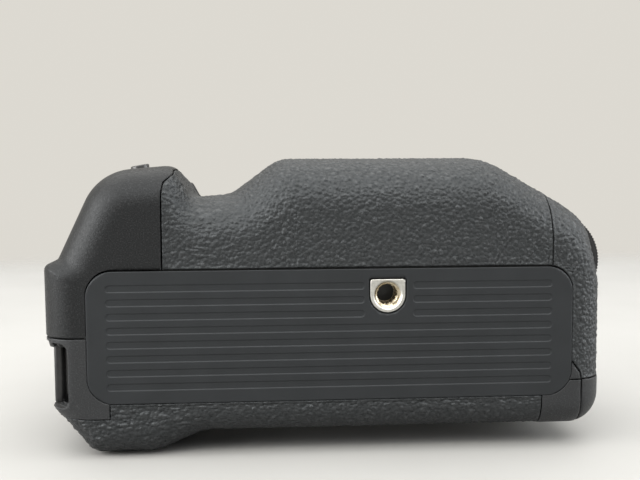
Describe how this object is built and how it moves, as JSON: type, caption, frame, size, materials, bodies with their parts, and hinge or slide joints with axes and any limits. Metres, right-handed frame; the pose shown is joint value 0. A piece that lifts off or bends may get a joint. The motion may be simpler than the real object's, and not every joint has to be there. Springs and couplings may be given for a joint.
{
  "type": "camera battery grip",
  "caption": "Vertical battery grip for a camera with a ribbed base, tripod socket, finger bulge, shutter hump, lock wheel and sliding magazine.",
  "frame": {"origin": "tripod socket axis in the outer face of the base plate", "axes": "+X towards the lock wheel end, +Y from the base towards the camera, +Z towards the finger side"},
  "size_m": [0.1476, 0.106, 0.0751],
  "materials": {
    "casing": "finely spark-textured black moulding",
    "grip": "grained leatherette, matte",
    "plate": "smooth matte charcoal paint",
    "steel": "turned steel",
    "pad": "soft black rubber",
    "contact": "gold-plated spring contact",
    "painted": "black painted steel",
    "board": "green solder mask",
    "alloy": "bead-blasted alloy",
    "wheel": "ribbed black rubber-coated wheel",
    "gear": "natural acetal gear",
    "tray": "smooth black moulding",
    "button": "satin black plastic"
  },
  "bodies": {
    "grip": {"front_casing": "casing", "rear_casing": "casing", "shutter_housing": "casing", "front_grip_skin": "grip", "rear_grip_skin": "grip", "base_plate": "plate", "tripod_socket": "steel", "seat_plate": "casing", "seat_pad": "pad", "seat_screws": "steel", "stalk": "casing", "stalk_head": "casing", "stalk_contacts": "contact", "locating_pins": "steel", "chassis": "casing", "bay_contacts": "contact", "strap_bar": "painted", "main_board": "board", "board_screws": "steel", "gear_bracket": "alloy", "idler_axles": "steel", "wheel_axle": "steel", "release_switch": "tray", "dial_axle": "steel", "rear_panel": "casing", "control_board": "board"},
    "wheel": {"lock_wheel": "wheel"},
    "idler_a": {"idler_gear_a": "gear"},
    "idler_b": {"idler_gear_b": "gear"},
    "camera_screw": {"lock_screw": "steel"},
    "magazine": {"magazine_tray": "tray", "end_cap": "casing", "end_cap_skin": "grip", "pack_contacts": "contact", "cap_screws": "steel"},
    "latch": {"latch_knob": "button", "latch_cam": "steel"},
    "shutter": {"shutter_button": "button"},
    "lever": {"power_lever": "button"},
    "function": {"function_button": "button"},
    "dial": {"control_dial": "wheel"},
    "focus": {"focus_button": "button"},
    "lock": {"lock_button": "button"},
    "point": {"point_button": "button"},
    "gimbal": {"joystick_gimbal": "alloy"},
    "stick": {"joystick": "pad"}
  },
  "joints": [
    {"name": "wheel_turn", "type": "hinge", "parent": "grip", "child": "wheel", "pos_m": [0.0478, 0.03, 0.0062], "axis": [0, 1, 0], "continuous": true},
    {"name": "idler_a_turn", "type": "hinge", "parent": "grip", "child": "idler_a", "pos_m": [0.03429, 0.03, 0.00722], "axis": [0, 1, 0], "continuous": true},
    {"name": "idler_b_turn", "type": "hinge", "parent": "grip", "child": "idler_b", "pos_m": [0.01546, 0.03, 0.00386], "axis": [0, 1, 0], "continuous": true},
    {"name": "screw_turn", "type": "hinge", "parent": "grip", "child": "camera_screw", "pos_m": [0, 0.03, 0], "axis": [0, 1, 0], "continuous": true},
    {"name": "magazine_slide", "type": "slide", "parent": "grip", "child": "magazine", "axis": [1, 0, 0], "range_m": [0, 0.118]},
    {"name": "latch_turn", "type": "hinge", "parent": "magazine", "child": "latch", "pos_m": [0.055, 0.028, -0.014], "axis": [1, 0, 0], "range_deg": [0, 90]},
    {"name": "shutter_press", "type": "slide", "parent": "grip", "child": "shutter", "axis": [0.5678, 0, -0.8232], "range_m": [0, 0.001], "stiffness_N_per_m": 500, "springref_m": -0.0004},
    {"name": "lever_turn", "type": "hinge", "parent": "grip", "child": "lever", "pos_m": [-0.07103, 0.034, 0.02681], "axis": [-0.5678, 0, 0.8232], "range_deg": [0, 35]},
    {"name": "function_press", "type": "slide", "parent": "grip", "child": "function", "axis": [0.0839, 0, -0.9965], "range_m": [0, 0.0005], "stiffness_N_per_m": 500, "springref_m": -0.0004},
    {"name": "dial_turn", "type": "hinge", "parent": "grip", "child": "dial", "pos_m": [-0.07526, 0.034, 0.01362], "axis": [-0.4325, 0, -0.9017], "continuous": true},
    {"name": "focus_press", "type": "slide", "parent": "grip", "child": "focus", "axis": [0, 0, 1], "range_m": [0, 0.0005], "stiffness_N_per_m": 500, "springref_m": -0.0004},
    {"name": "lock_press", "type": "slide", "parent": "grip", "child": "lock", "axis": [0, 0, 1], "range_m": [0, 0.0005], "stiffness_N_per_m": 500, "springref_m": -0.0004},
    {"name": "point_press", "type": "slide", "parent": "grip", "child": "point", "axis": [0, 0, 1], "range_m": [0, 0.0005], "stiffness_N_per_m": 500, "springref_m": -0.0004},
    {"name": "gimbal_tilt", "type": "hinge", "parent": "grip", "child": "gimbal", "pos_m": [-0.06655, 0.0375, -0.0368], "axis": [1, 0, 0], "range_deg": [-8, 8], "stiffness_Nm_per_rad": 0.02},
    {"name": "stick_tilt", "type": "hinge", "parent": "gimbal", "child": "stick", "pos_m": [-0.06655, 0.0375, -0.0368], "axis": [0, 1, 0], "range_deg": [-8, 8], "stiffness_Nm_per_rad": 0.02}
  ],
  "couplings": [
    {"joint": "idler_a_turn", "follows": "wheel_turn", "ratio": -0.41667},
    {"joint": "idler_b_turn", "follows": "wheel_turn", "ratio": 0.41667},
    {"joint": "screw_turn", "follows": "wheel_turn", "ratio": -0.625}
  ]
}
